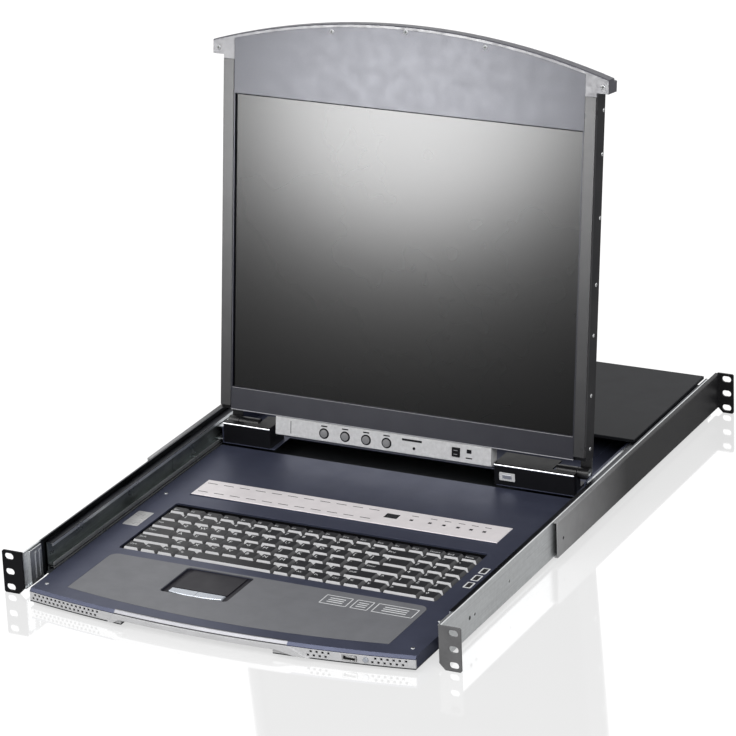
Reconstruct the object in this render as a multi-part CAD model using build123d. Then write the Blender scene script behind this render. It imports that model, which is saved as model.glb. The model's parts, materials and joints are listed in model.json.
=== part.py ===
from build123d import *
import os
from math import cos, radians, sin

os.makedirs("parts", exist_ok=True)

# Frame: X to the right, Y to the rear, Z up, in millimetres.
# The origin is the middle of the four corner slots of the front ears, in their front face.

# Rack standard
slot_span = 465.1
slot_rise = 15.875
slot_length = 10.0
slot_width = 6.8
ear_margin = 7.45
ear_half_width = slot_span / 2 + ear_margin
ear_half_height = 21.8
ear_thickness = 2.0
ear_corner = 1.2
ear_cut = 6.0

# Side rails: a tall web each side with short lips inwards
rail_setback = 13.35
rail_outer = slot_span / 2 - rail_setback
rail_wall = 1.2
rail_bottom = -16.2
rail_top = 21.3
rail_lip = 1.2
rail_end = 648.0
rail_bend = 0.7

# Rear brackets: black channels that slide along the rails to suit the rack's depth
bracket_gap = 0.3
bracket_lip = 2.9
bracket_wall = 1.6
bracket_outer = rail_outer + bracket_gap + bracket_lip + bracket_wall
bracket_bend = 0.7
bracket_bottom = -16.4
bracket_top = 20.8
bracket_start = 252.0
rear_ear_face = 666.0

# Telescopic slides, upper pair for the screen and lower pair for the keyboard drawer
slide_backing = 1.5
slide_depth = 7.5
slide_outside = rail_outer - rail_wall - slide_backing
slide_inside = slide_outside - slide_depth
slide_end = 640.0
slide_start = 42.0
drawer_side_gap = 7.0
member_inside = slide_inside - drawer_side_gap
member_set_in = 2.9
member_reach = slide_outside - member_set_in
upper_slide_bottom = -7.4
upper_slide_top = 16.5
upper_slide_wall = 1.2
upper_slide_lip = 2.4
upper_member_inset = 4.5
lower_slide_bottom = -18.9
lower_slide_top = -8.1
lower_slide_wall = 1.0
lower_slide_lip = 1.2
lower_member_inset = 3.0
member_wall = 1.2
slide_bend = 1.0
ball_gap = 0.2
cage_wall = 0.7
cage_web_gap = 0.5
cage_length = 232.0
upper_cage_start = 286.0
lower_cage_start = 240.0
ball_count = 3
ball_side = 1.5
upper_member_start = 372.0
lower_member_start = 34.0
lower_member_end = 520.0
spacer_places = (60.0, 340.0, 600.0)
spacer_length = 24.0

# Guide blocks at the front ends of the rails
block_front = 9.0
block_depth = 21.0
block_wall = 1.5
block_rib_shares = (0.35, 0.7)
block_rib_proud = 0.5
block_rib_end = 3.0
block_rib_slope = 1.5
block_clearance = 0.3
block_inside = member_reach + block_clearance + block_rib_proud

# Keyboard drawer
tray_half_width = member_inside
tray_top = -5.5
tray_deck = 2.0
tray_wall = 1.5
tray_bottom_z = -18.5
tray_bottom_wall = 1.2
tray_rear = 365.0
tray_front = -34.6
tray_front_side = -15.6
tray_nose = 2.6
fascia_top = -8.8
fascia_gap = 0.1
vent_size = 2.4
vent_rows = (-11.2, -15.0)
vent_fine_pitch = 4.9
vent_wide_pitch = 5.7
vent_zones = (
    (6.5 - tray_half_width, 16, vent_fine_pitch),
    (tray_half_width - 99.0, 4, vent_wide_pitch),
    (tray_half_width - 37.5, 6, vent_wide_pitch),
)
handle_left = 92.0 - tray_half_width
handle_right = tray_half_width - 99.0
handle_proud = 2.2
handle_top = -8.6
handle_bottom = -13.2
handle_left_sweep = 10.0
handle_right_sweep = 25.0
grip_depth = 15.0
grip_wall = 1.2

# Keyboard
well_left = 31.0 - tray_half_width
well_right = tray_half_width - 34.0
well_front = 98.5
well_rear = 215.0
well_corner = 3.0
key_plate_top = -11.5
key_plate_wall = 1.2
key_plate_rim = 2.0
key_margin = 2.1
key_columns = 18
key_pitch = (well_right - well_left - 2 * key_margin) / key_columns
key_row_pitch = 18.4
key_gap = 1.3
key_top = -4.8
key_foot = -9.2
key_taper_side = 1.9
key_taper_front = 1.2
key_taper_back = 2.6
key_first_y = 101.0
key_stem = 4.0
key_stem_end = -13.6
stem_clearance = 0.3
top_row_depth = 14.6

# Palm rest and touchpad
palm_left = 32.0 - tray_half_width
palm_right = tray_half_width - 34.0
palm_rear = 86.0
palm_front_side = 0.0
palm_front = -16.0
palm_corner = 9.0
palm_depth = 1.0
palm_proud = 0.1
palm_gap = 0.25
pad_recess_left = -85.0
pad_recess_right = -13.5
pad_recess_front = 25.0
pad_recess_rear = 83.0
pad_recess_corner = 4.0
pad_floor = -8.1
pad_top = -7.1
pad_left = -78.0
pad_right = -21.0
pad_front = 41.0
pad_rim = 2.0
pad_base = -12.4
pad_button_front = 27.2
pad_button_bulge = 3.2
pad_button_rear = 38.5
pad_button_split = -49.5
pad_button_top = -6.3
pad_button_foot = -10.4
pad_button_well = -11.3
pad_button_gap = 0.3
pad_button_bevel = 0.6

# Status panel behind the keyboard
panel_left = 33.0 - tray_half_width
panel_right = tray_half_width - 37.0
panel_front = 240.0
panel_rear = 277.0
panel_height = 0.8
panel_groove = 3.0
panel_groove_depth = 1.0
display_left = panel_right - 129.0
display_right = panel_right - 115.0
display_front = 256.0
display_rear = 266.0
lamp_offsets = (100.0, 80.0, 65.0, 50.0, 36.0, 22.0)
lamp_y = 259.0
lamp_side = 3.4
lamp_gap = 0.15

# Drawer front: a USB socket and a round push button
usb_x = tray_half_width - 62.0
usb_z = -13.2
usb_width = 14.4
usb_height = 5.8
usb_wall = 0.7
usb_depth = 14.0
usb_tongue = 2.0
usb_tongue_back = 2.5
usb_proud = 0.4
front_button_x = tray_half_width - 46.5
front_button_z = -13.2
front_button_radius = 2.4
front_button_length = 6.0
front_button_proud = 0.9
front_button_gap = 0.2

# Screen: it leans back from the upright, and turns about a low axis
lean = 7.394
screen_y = 370.0
screen_z = 58.5
hinge_z = 15.0
fold_face_z = -3.8
module_half_width = tray_half_width
module_depth = 24.6
module_bottom = -24.0
module_wall = 1.6
bezel_wall = 3.0
bezel_bevel = 1.2
back_bevel = 3.0
trim_width = 12.0
bezel_half_width = module_half_width - trim_width
bezel_rim = 1.3
glass_half_width = bezel_half_width - bezel_rim
glass_height = 302.0
lcd_margin = 7.0
lcd_depth = 8.0
arch_peak = 386.7
arch_side = 355.0
tab_reach = 12.0
arch_half_width = module_half_width + tab_reach
arch_band = 3.5
arch_depth = 13.0
tab_bottom = 341.0
tab_depth = 20.0
trim_bottom = -20.0
trim_top = 337.0
trim_proud = 0.5
trim_bevel = 0.4
grip_bevel = 0.9
back_slot_length = 46.0
back_slot_width = 2.4
back_slot_pitch = 9.0
back_slot_rows = 5
back_slot_columns = (-120.0, 0.0, 120.0)
back_slot_base = 300.0

# Control panel below the screen
osd_left = 63.7 - tray_half_width
osd_right = tray_half_width - 100.0
osd_width = osd_right - osd_left
osd_bottom = -43.5
osd_depth = 14.0
osd_wall = 2.0
osd_bevel = 0.8
osd_button_shares = (0.2289, 0.3275, 0.4257, 0.521)
osd_button_v = -35.0
osd_button_radius = 4.0
osd_button_proud = 1.0
osd_button_length = 4.5
osd_button_gap = 0.25
osd_switch_share = 0.8406
osd_switch_v = -33.5
osd_switch_width = 8.4
osd_switch_height = 9.2

# Screen carriage, behind the keyboard drawer and on the upper slides
carriage_top = -3.4
carriage_wall = 1.0
carriage_front = 367.9
carriage_rear = 540.0
carriage_flange_top = 13.0
carriage_flange = 1.2
notch_margin = 4.0
notch_rear = 402.0
deck_panel_half_width = member_inside - 30.0
deck_panel_height = 0.8
deck_panel_margin = 3.0

# Hinges
pin_radius = 3.0
pin_clearance = 0.05
leaf_wall = 1.6
leaf_outside = module_half_width - 1.7
leaf_width = 11.8
leaf_inside = leaf_outside - leaf_width
leaf_foot = 15.0
knuckle_inside = leaf_inside - 22.5
knuckle_gap = 0.5
knuckle_neck = 9.6
leaf_pocket_gap = 0.3
hinge_foot_rear = 400.0
hinge_foot_wall = 2.0
cover_top = 18.9
cover_wall = 1.5
cover_rear = 398.0
cover_shelf = 6.2
cover_bevel = 0.8
left_cover = (1.6 - tray_half_width, 55.0 - tray_half_width)
right_cover = (tray_half_width - 98.0, tray_half_width - 12.0)
cover_open_from = knuckle_inside - 2.0
trim_height = 1.6
trim_wall = 0.9
hinge_trim_bevel = 0.4

# Rear housing
housing_front = 330.0
housing_rear = 657.0
housing_wall = 1.2
housing_bottom = -20.7
housing_half_width = rail_outer - 0.8
bay_front = 548.0
bay_half_width = member_inside
bay_top = 18.8
top_cover_front = 470.0
top_cover_half_width = slide_inside + 2.0
top_cover_hem = 1.9
top_cover_bevel = 0.5
supply_left = 4.0 - bay_half_width
supply_right = supply_left + 80.0
board_left = supply_right + 10.0
board_right = bay_half_width - 12.0
board_front = 560.0
board_rear = 649.0
board_bottom = -15.5
board_wall = 1.6
board_post = 6.0
board_post_inset = 8.0
package_height = 1.8
package_places = ((0.161, 590.0, 22.0), (0.43, 585.0, 28.0), (0.681, 588.0, 22.0), (0.866, 592.0, 16.0))
fin_count = 5
fin_pitch = 5.0
fin_wall = 1.5
fin_length = 24.0
fin_height = 7.2
supply_front = 556.0
supply_rear = 628.0
supply_top = 12.0
supply_bevel = 1.5
inlet_x = supply_left + 22.0
inlet_z = -1.0
inlet_width = 27.0
inlet_height = 20.0
inlet_corner = 4.5
inlet_flange = 3.0
inlet_flange_wall = 2.0
inlet_body = 19.0
inlet_wall = 1.8
inlet_cavity = 15.0
inlet_pin_length = 8.0
inlet_pin_width = 2.0
inlet_pin_height = 4.0
inlet_pin_span = 7.0
inlet_pin_drop = 2.0
inlet_gap = 0.2
rocker_x = supply_right - 24.0
rocker_width = 13.0
rocker_height = 20.0
rocker_frame = 2.0
rocker_frame_wall = 1.5
rocker_depth = 14.0
rocker_side_gap = 0.6
rocker_end_gap = 1.1
rocker_shoulder = 2.0
rocker_keel = 4.0
rocker_tilt = 7.0
rocker_pivot = 3.0
rocker_stub_radius = 1.0
rocker_stub_gap = 0.1
rocker_proud = 2.2
port_first_x = supply_right + 22.0
port_pitch = 33.5
port_count = int((board_right - port_first_x) / port_pitch)
port_z = 2.0
port_flange_width = 31.0
port_flange_height = 12.5
port_flange_wall = 1.0
port_shell_width = 17.0
port_shell_height = 9.0
port_shell_taper = 1.4
port_shell_depth = 5.5
port_body_depth = 9.0

# Worked-out places
tilt = radians(lean)
hinge_ahead = hinge_z - fold_face_z
hinge_v = (fold_face_z + hinge_ahead + hinge_ahead * sin(tilt) - screen_z) / cos(tilt)
hinge_y = screen_y + hinge_v * sin(tilt) + hinge_ahead * cos(tilt)
screen_plane = Plane(
    origin=(0, screen_y, screen_z), x_dir=(1, 0, 0), z_dir=(0, -cos(tilt), sin(tilt))
)


def block(x0, x1, y0, y1, z0, z1):
    """A rectangular solid between two corners."""
    size = Box(x1 - x0, y1 - y0, z1 - z0)
    return Pos((x0 + x1) / 2, (y0 + y1) / 2, (z0 + z1) / 2) * size


def along_y(profile, y0, y1):
    """Extrude a profile drawn in X and Z from y0 to y1."""
    plane = Plane(origin=(0, y1, 0), x_dir=(1, 0, 0), z_dir=(0, -1, 0))
    return extrude(plane * profile, amount=y1 - y0)


def along_x(profile, x0, x1):
    """Extrude a profile drawn in Y and Z from x0 to x1."""
    plane = Plane(origin=(x0, 0, 0), x_dir=(0, 1, 0), z_dir=(1, 0, 0))
    return extrude(plane * profile, amount=x1 - x0)


def rod_x(y, z, radius, x0, x1):
    """A round bar that lies along X."""
    return along_x(Pos(y, z) * Circle(radius), x0, x1)


def rod_y(x, z, radius, y0, y1):
    """A round bar that lies along Y."""
    return along_y(Pos(x, z) * Circle(radius), y0, y1)


def mirrored(piece):
    """The same piece on the other side of the middle plane."""
    return mirror(piece, about=Plane.YZ)


def both_sides(piece):
    """The right-hand piece and its mirror image."""
    return [piece, mirrored(piece)]


def save(name, *pieces):
    """Write one sub-part, as one solid or as a group of separate solids."""
    solids = [solid for piece in pieces for solid in piece.solids()]
    shape = solids[0] if len(solids) == 1 else Compound(children=solids)
    shape.label = name
    export_step(shape, f"parts/{name}.step")


def rounded_rectangle(x0, x1, y0, y1, radius):
    """A rectangle with round corners, given by its edges."""
    return Pos((x0 + x1) / 2, (y0 + y1) / 2) * RectangleRounded(x1 - x0, y1 - y0, radius)


# Side rails and front ears
def channel(outside, reach, bottom, top, wall, bend):
    """A C profile on the right-hand side, its web outside and its lips pointing inwards."""
    outline = Pos((outside + reach) / 2, (bottom + top) / 2) * Rectangle(outside - reach, top - bottom)
    corners = outline.vertices().filter_by(lambda corner: abs(corner.X - outside) < wall)
    hollow = Pos((outside - wall + reach) / 2, (bottom + top) / 2)
    hollow *= Rectangle(outside - wall - reach, top - bottom - 2 * wall)
    return chamfer(corners, bend) - hollow


def side_rail():
    reach = rail_outer - rail_wall - rail_lip
    profile = channel(rail_outer, reach, rail_bottom, rail_top, rail_wall, rail_bend)
    return along_y(profile, ear_thickness, rail_end)


def ear_profile(inside):
    """An ear seen from the front, with three slots and its lower inner corner cut off."""
    plate = Pos((inside + ear_half_width) / 2, 0) * Rectangle(ear_half_width - inside, 2 * ear_half_height)
    outer = plate.vertices().filter_by(lambda corner: corner.X > inside + ear_corner)
    plate = chamfer(outer, ear_corner)
    low = -ear_half_height
    plate -= Polygon((inside, low), (inside + ear_cut, low), (inside, low + ear_cut), align=None)
    for height in (-slot_rise, 0, slot_rise):
        plate -= Pos(slot_span / 2, height) * SlotOverall(slot_length, slot_width)
    return plate


def front_ear():
    return along_y(ear_profile(rail_outer - rail_wall), 0, ear_thickness)


def rear_bracket():
    profile = channel(
        bracket_outer, rail_outer + bracket_gap, bracket_bottom, bracket_top, bracket_wall, bracket_bend
    )
    rear = rear_ear_face + ear_thickness
    bracket = along_y(profile, bracket_start, rear)
    return bracket + along_y(ear_profile(bracket_outer - bracket_wall), rear_ear_face, rear)


def guide_block():
    """A folded end bracket between the rail's lips, with two pressed ribs."""
    inner = rail_outer - rail_wall
    bottom = rail_bottom + rail_wall + bracket_gap
    top = rail_top - rail_wall - bracket_gap
    rear = block_front + block_depth
    wall = block_wall
    bracket = block(block_inside, inner, block_front, rear, bottom, top)
    bracket -= block(block_inside + wall, inner - wall, block_front + wall, rear, bottom, top)
    for share in block_rib_shares:
        rib_y = block_front + block_depth * share
        bracket += along_y(rib_profile(bottom, top), rib_y - block_wall, rib_y + block_wall)
    return bracket


def rib_profile(bottom, top):
    """A pressed rib on the inner face of a guide block."""
    face = block_inside
    crest = face - block_rib_proud
    low = bottom + block_rib_end
    high = top - block_rib_end
    slope = block_rib_slope
    return Polygon((face, low), (crest, low + slope), (crest, high - slope), (face, high), align=None)


# Telescopic slides
def outer_member(bottom, top, wall, lip):
    """The fixed channel of a slide, with lips that hold the balls in."""
    profile = channel(slide_outside, slide_inside, bottom, top, wall, slide_bend)
    for low, high in ((bottom, bottom + wall + lip), (top - wall - lip, top)):
        profile += Pos(slide_inside + wall / 2, (low + high) / 2) * Rectangle(wall, high - low)
    return along_y(profile, slide_start, slide_end)


def inner_member(bottom, top, start, end):
    """The moving channel of a slide: its web is against the drawer and its sides reach outwards."""
    outline = Pos((member_inside + member_reach) / 2, (bottom + top) / 2)
    outline *= Rectangle(member_reach - member_inside, top - bottom)
    hollow = Pos((member_inside + member_wall + member_reach) / 2, (bottom + top) / 2)
    hollow *= Rectangle(member_reach - member_inside - member_wall, top - bottom - 2 * member_wall)
    return along_y(outline - hollow, start, end)


def ball_cage(bottom, top, wall, inset, start):
    """A strip cage with a row of balls, drawn as blocks, above and below the moving member."""
    room = inset - wall
    radius = room / 2 - ball_gap
    web_out = slide_outside - wall - cage_web_gap
    web_in = web_out - cage_wall
    ball_x = (slide_inside + wall + member_reach) / 2
    low = bottom + wall + room / 2
    high = top - wall - room / 2
    profile = Pos((web_in + web_out) / 2, (low + high) / 2) * Rectangle(cage_wall, high - low + cage_wall)
    for level in (low, high):
        inner_edge = slide_inside + wall + cage_web_gap
        profile += Pos((inner_edge + web_out) / 2, level) * Rectangle(web_out - inner_edge, cage_wall)
    cage = along_y(profile, start, start + cage_length)
    pitch = cage_length / ball_count
    side = ball_side * radius
    for number in range(ball_count):
        y = start + pitch * (number + 0.5)
        for level in (low, high):
            cage += Pos(ball_x, y, level) * Box(side, side, side)
    return cage


def slide_spacer(y):
    """A backing plate that carries both outer members on the rail."""
    bottom = rail_bottom + rail_wall + bracket_gap
    half = spacer_length / 2
    return block(slide_outside, rail_outer - rail_wall, y - half, y + half, bottom, upper_slide_top)


# Keyboard drawer
def tray_outline(inset):
    """The drawer seen from above, with its bowed front edge, moved inwards by an inset."""
    side = tray_half_width - inset
    front_side = tray_front_side + inset
    front = tray_front + inset
    rear = tray_rear - inset
    edges = ThreePointArc((-side, front_side), (0, front), (side, front_side))
    edges += Polyline((side, front_side), (side, rear), (-side, rear), (-side, front_side))
    return make_face(edges.edges())


def front_y(x, inset=0.0):
    """Where the bowed front of the drawer lies at a given X."""
    sag = tray_front_side - tray_front
    radius = (tray_half_width ** 2 + sag ** 2) / (2 * sag)
    return tray_front + radius - (radius ** 2 - x ** 2) ** 0.5 + inset


def front_strip(start, end, bottom, top):
    """The zone between two distances behind the bowed front edge."""
    strip = extrude(Pos(0, start, bottom) * tray_outline(0), amount=top - bottom)
    return strip - extrude(Pos(0, end, bottom) * tray_outline(0), amount=top - bottom)


def grip_zone(grow, bottom, top):
    """A level block over the width of the finger grip, grown sideways by a margin."""
    left = handle_left + 1.5 * handle_left_sweep - grow
    right = handle_right - 1.5 * handle_right_sweep + grow
    return block(left, right, tray_front, tray_front_side + grip_depth, bottom, top)


def tray_shell():
    foot = tray_bottom_z + tray_bottom_wall
    shell = extrude(Pos(0, 0, foot) * tray_outline(0), amount=tray_top - foot)
    nose = shell.edges().filter_by(GeomType.CIRCLE).sort_by(Axis.Z)[-1]
    shell = chamfer(nose, tray_nose)
    shell -= extrude(Pos(0, 0, foot) * tray_outline(tray_wall), amount=tray_top - tray_deck - foot)
    deck_cut = tray_deck * 2
    well = rounded_rectangle(well_left, well_right, well_front, well_rear, well_corner)
    shell -= extrude(Pos(0, 0, tray_top - deck_cut) * well, amount=2 * deck_cut)
    shell -= extrude(Pos(0, 0, tray_top - palm_depth) * palm_outline(0), amount=2 * palm_depth)
    shell -= extrude(Pos(0, 0, tray_top - deck_cut) * pad_recess_outline(0), amount=2 * deck_cut)
    shell -= block(
        panel_left, panel_right, panel_front - panel_groove, panel_front,
        tray_top - panel_groove_depth, tray_top + panel_groove_depth
    )
    opening = fascia_top + fascia_gap
    shell -= front_strip(0, tray_wall, foot, opening)
    inside = tray_half_width - tray_wall
    behind = block(-inside, inside, tray_front, tray_front_side + 2 * tray_wall, foot, opening)
    return shell - (front_strip(0, 2 * tray_wall, foot, opening) & behind)


def tray_floor():
    """The drawer's bottom sheet, cut back at the finger grip."""
    floor = extrude(Pos(0, 0, tray_bottom_z) * tray_outline(0), amount=tray_bottom_wall)
    top = tray_bottom_z + tray_bottom_wall
    grip = front_strip(0, grip_depth, tray_bottom_z, top)
    return floor - (grip & grip_zone(0, tray_bottom_z, top))


def front_fascia():
    """The bowed front strip: vents, a socket opening, a button hole and a finger pocket."""
    foot = tray_bottom_z + tray_bottom_wall
    roof = handle_bottom + grip_wall
    fascia = front_strip(0, tray_wall, foot, fascia_top)
    fascia += front_strip(0, grip_depth + grip_wall, foot, roof) & grip_zone(grip_wall, foot, roof)
    fascia -= front_strip(0, grip_depth, foot, handle_bottom) & grip_zone(0, foot, handle_bottom)
    for start, count, pitch in vent_zones:
        for row, z in enumerate(vent_rows):
            for number in range(count):
                x = start + (number - row / 2) * pitch
                fascia -= Pos(x, front_y(x), z) * Box(vent_size, 4 * tray_wall, vent_size)
    fascia -= Pos(usb_x, front_y(usb_x), usb_z) * Box(usb_width, 6 * tray_wall, usb_height)
    radius = front_button_radius + front_button_gap
    y = front_y(front_button_x)
    return fascia - rod_y(front_button_x, front_button_z, radius, y - 2 * tray_wall, y + 3 * tray_wall)


def sweep_down(x, knee_x, bottom, top):
    """An S curve from the bottom at x up to the top at knee_x."""
    direction = 1 if knee_x > x else -1
    return Spline((x, bottom), (knee_x, top), tangents=((direction, 0), (direction, 0)))


def drawer_handle():
    """A bar along the bowed front, whose ends sweep down to the fascia's foot in an S."""
    foot = tray_bottom_z + tray_bottom_wall
    left = handle_left
    right = handle_right
    left_knee = left + handle_left_sweep
    right_knee = right - handle_right_sweep
    inner_left = left + handle_left_sweep / 2
    inner_left_knee = left + 1.5 * handle_left_sweep
    inner_right = right - handle_right_sweep / 2
    inner_right_knee = right - 1.5 * handle_right_sweep
    outline = sweep_down(left, left_knee, foot, handle_top)
    outline += Line((left_knee, handle_top), (right_knee, handle_top))
    outline += sweep_down(right, right_knee, foot, handle_top)
    outline += Line((right, foot), (inner_right, foot))
    outline += sweep_down(inner_right, inner_right_knee, foot, handle_bottom)
    outline += Line((inner_right_knee, handle_bottom), (inner_left_knee, handle_bottom))
    outline += sweep_down(inner_left, inner_left_knee, foot, handle_bottom)
    outline += Line((inner_left, foot), (left, foot))
    front = along_y(make_face(outline.edges()), tray_front - 2 * handle_proud, tray_front_side)
    return front_strip(-handle_proud, 0, foot, tray_top) & front


def palm_outline(inset):
    left = palm_left + inset
    right = palm_right - inset
    middle = (left + right) / 2
    front_side = palm_front_side + inset
    rear = palm_rear - inset
    edges = ThreePointArc((left, front_side), (middle, palm_front + inset), (right, front_side))
    edges += Polyline((right, front_side), (right, rear), (left, rear), (left, front_side))
    face = make_face(edges.edges())
    return fillet(face.vertices().sort_by(Axis.Y)[-2:], palm_corner - inset)


def pad_recess_outline(inset):
    return rounded_rectangle(
        pad_recess_left + inset, pad_recess_right - inset, pad_recess_front + inset, pad_recess_rear - inset,
        pad_recess_corner
    )


def palm_rest():
    floor = tray_top - palm_depth
    rest = extrude(Pos(0, 0, floor) * palm_outline(palm_gap), amount=palm_depth + palm_proud)
    return rest - extrude(Pos(0, 0, floor) * pad_recess_outline(0), amount=2 * palm_depth)


def pad_button_outline(gap):
    """Both touchpad buttons together, with a bowed front edge."""
    left = pad_left - gap
    right = pad_right + gap
    middle = (left + right) / 2
    front = pad_button_front - gap
    rear = pad_button_rear + gap
    side = front + pad_button_bulge
    edges = ThreePointArc((left, side), (middle, front), (right, side))
    edges += Polyline((right, side), (right, rear), (left, rear), (left, side))
    return make_face(edges.edges())


def touchpad():
    under = tray_top - tray_deck
    base = block(
        pad_recess_left - pad_rim, pad_recess_right + pad_rim, pad_recess_front - pad_rim,
        pad_recess_rear + pad_rim, pad_base, under
    )
    base -= extrude(Pos(0, 0, pad_floor) * pad_recess_outline(0), amount=under - pad_floor)
    base += block(pad_left, pad_right, pad_front, pad_recess_rear - pad_button_gap, pad_floor, pad_top)
    well = pad_button_outline(pad_button_gap)
    return base - extrude(Pos(0, 0, pad_button_well) * well, amount=pad_floor - pad_button_well)


def touchpad_button(side):
    """One of the two curved buttons; side is -1 for the left one."""
    height = pad_button_top - pad_button_foot
    both = extrude(Pos(0, 0, pad_button_foot) * pad_button_outline(0), amount=height)
    edges = both.edges().filter_by(lambda item: item.center().Z > pad_button_top - 0.01)
    both = chamfer(edges, pad_button_bevel)
    near = pad_button_split + side * pad_button_gap / 2
    far = pad_button_split + side * (pad_right - pad_left)
    return both & block(min(near, far), max(near, far), 0, palm_rear, pad_button_foot, pad_button_top)


# Keys
main_rows = (
    (1.0, 1.0, 1.0, 1.0, 4.75, 1.0, 1.0, 1.0, 1.0, 1.0, 1.25, 2.0, 1.0),
    (2.25,) + (1.0,) * 10 + (1.75, 1.0) + (1.0,) * 3,
    (1.75,) + (1.0,) * 11 + (2.25,) + (1.0,) * 3,
    (1.5,) + (1.0,) * 12 + (1.5,) + (1.0,) * 3,
    (1.0,) * 13 + (2.0,) + (1.0,) * 3,
    (1.0,) * 18,
)
space_place = 4


def key_centres(row):
    """The middle X, width and the middle Y and depth of each key in a row."""
    x = well_left + key_margin
    depth = key_row_pitch if row < len(main_rows) - 1 else top_row_depth
    y = key_first_y + row * key_row_pitch + depth / 2
    for units in main_rows[row]:
        width = units * key_pitch
        yield x + width / 2, width - key_gap, y, depth - key_gap
        x += width


def key_cap(x, width, y, depth):
    """A tapered key with a stem that runs in the key plate."""
    left = x - width / 2
    right = x + width / 2
    front = y - depth / 2
    rear = y + depth / 2
    across = Polygon(
        (left, key_foot), (right, key_foot),
        (right - key_taper_side, key_top), (left + key_taper_side, key_top), align=None
    )
    along = Polygon(
        (front, key_foot), (rear, key_foot),
        (rear - key_taper_back, key_top), (front + key_taper_front, key_top), align=None
    )
    cap = along_y(across, front, rear) & along_x(along, left, right)
    half = key_stem / 2
    return cap + block(x - half, x + half, y - half, y + half, key_stem_end, key_foot)


def key_plate():
    floor = key_plate_top - key_plate_wall
    under = tray_top - tray_deck
    rim = key_plate_rim
    plate = block(well_left - rim, well_right + rim, well_front - rim, well_rear + rim, floor, under)
    plate -= block(well_left, well_right, well_front, well_rear, key_plate_top, under)
    half = key_stem / 2 + stem_clearance
    for row in range(len(main_rows)):
        stems = list(key_centres(row))
        first_x = stems[0][0] - half
        last_x = stems[-1][0] + half
        y = stems[0][2]
        plate -= block(first_x, last_x, y - half, y + half, floor, key_plate_top)
    return plate


# Status panel
def status_panel():
    outline = Rectangle(panel_right - panel_left, panel_rear - panel_front)
    middle = Pos((panel_left + panel_right) / 2, (panel_front + panel_rear) / 2, tray_top)
    plate = extrude(middle * outline, amount=panel_height)
    plate = chamfer(plate.edges().group_by(Axis.Z)[-1], panel_height / 2)
    plate -= block(
        display_left - lamp_gap, display_right + lamp_gap, display_front - lamp_gap, display_rear + lamp_gap,
        tray_top, tray_top + panel_height
    )
    hole = lamp_side + 2 * lamp_gap
    for offset in lamp_offsets:
        plate -= Pos(panel_right - offset, lamp_y, tray_top) * Box(hole, hole, 2 * panel_height)
    return plate


def status_lamps():
    top = tray_top + panel_height
    pieces = [block(display_left, display_right, display_front, display_rear, tray_top, top)]
    for offset in lamp_offsets:
        centre = Pos(panel_right - offset, lamp_y, tray_top + panel_height / 2)
        pieces.append(centre * Box(lamp_side, lamp_side, panel_height))
    return pieces


def usb_port():
    """A metal socket shell with its tongue, set in the drawer's front wall."""
    front = front_y(usb_x) - usb_proud
    rear = front + usb_depth
    width = usb_width - usb_wall
    height = usb_height - usb_wall
    shell = Pos(usb_x, (front + rear) / 2, usb_z) * Box(width, usb_depth, height)
    cavity_width = width - 2 * usb_wall
    cavity_height = height - 2 * usb_wall
    cavity_depth = usb_depth - usb_wall
    shell -= Pos(usb_x, front + cavity_depth / 2, usb_z) * Box(cavity_width, cavity_depth, cavity_height)
    tongue_z = usb_z + cavity_height / 2 - usb_tongue / 2 - usb_wall / 2
    tongue = block(
        usb_x - cavity_width / 2 + 2 * usb_wall, usb_x + cavity_width / 2 - 2 * usb_wall,
        front + usb_tongue_back, rear - usb_wall, tongue_z - usb_tongue / 2, tongue_z + usb_tongue / 2
    )
    return shell + tongue


def front_button():
    front = front_y(front_button_x) - front_button_proud
    return rod_y(front_button_x, front_button_z, front_button_radius, front, front + front_button_length)


# Screen, drawn flat: X across, Y up the screen and Z towards the viewer
def arch_circle(drop):
    """An arch across the top of the screen, lowered by a drop."""
    return ThreePointArc(
        (-arch_half_width, arch_side - drop), (0, arch_peak - drop), (arch_half_width, arch_side - drop)
    )


def arch_face(drop, base):
    """The area between the arch and a level line."""
    sides = Polyline(
        (arch_half_width, arch_side - drop), (arch_half_width, base), (-arch_half_width, base),
        (-arch_half_width, arch_side - drop)
    )
    return make_face((arch_circle(drop) + sides).edges())


def module_face(half_width, drop, bottom):
    """The screen's outline: straight sides and an arched top."""
    column = Pos(0, (bottom + arch_peak) / 2) * Rectangle(2 * half_width, arch_peak - bottom)
    return column & arch_face(drop, bottom)


def slab(face, back, front):
    """A plate between two depths of the flat drawing."""
    return extrude(Pos(0, 0, back) * face, amount=front - back)


def on_screen(piece):
    """Lean a flat-drawn piece into its place."""
    return screen_plane.location * piece


def screen_bezel():
    outline = module_face(bezel_half_width, arch_band, module_bottom)
    window = Pos(0, glass_height / 2) * Rectangle(2 * glass_half_width, glass_height)
    frame = slab(outline - window, -bezel_wall, 0)
    window_edges = frame.edges().filter_by(Axis.X).group_by(Axis.Z)[-1].sort_by(Axis.Y)[1:]
    return chamfer(window_edges, bezel_bevel)


def back_body(half_width, drop, bottom, back):
    """The back shell's outer or inner form, with bevelled rear side edges."""
    body = slab(module_face(half_width, drop, bottom), back, -bezel_wall)
    rear_edges = body.edges().filter_by(Axis.Y).filter_by(lambda edge: edge.center().Z < back + 0.01)
    return chamfer(rear_edges, back_bevel)


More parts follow.
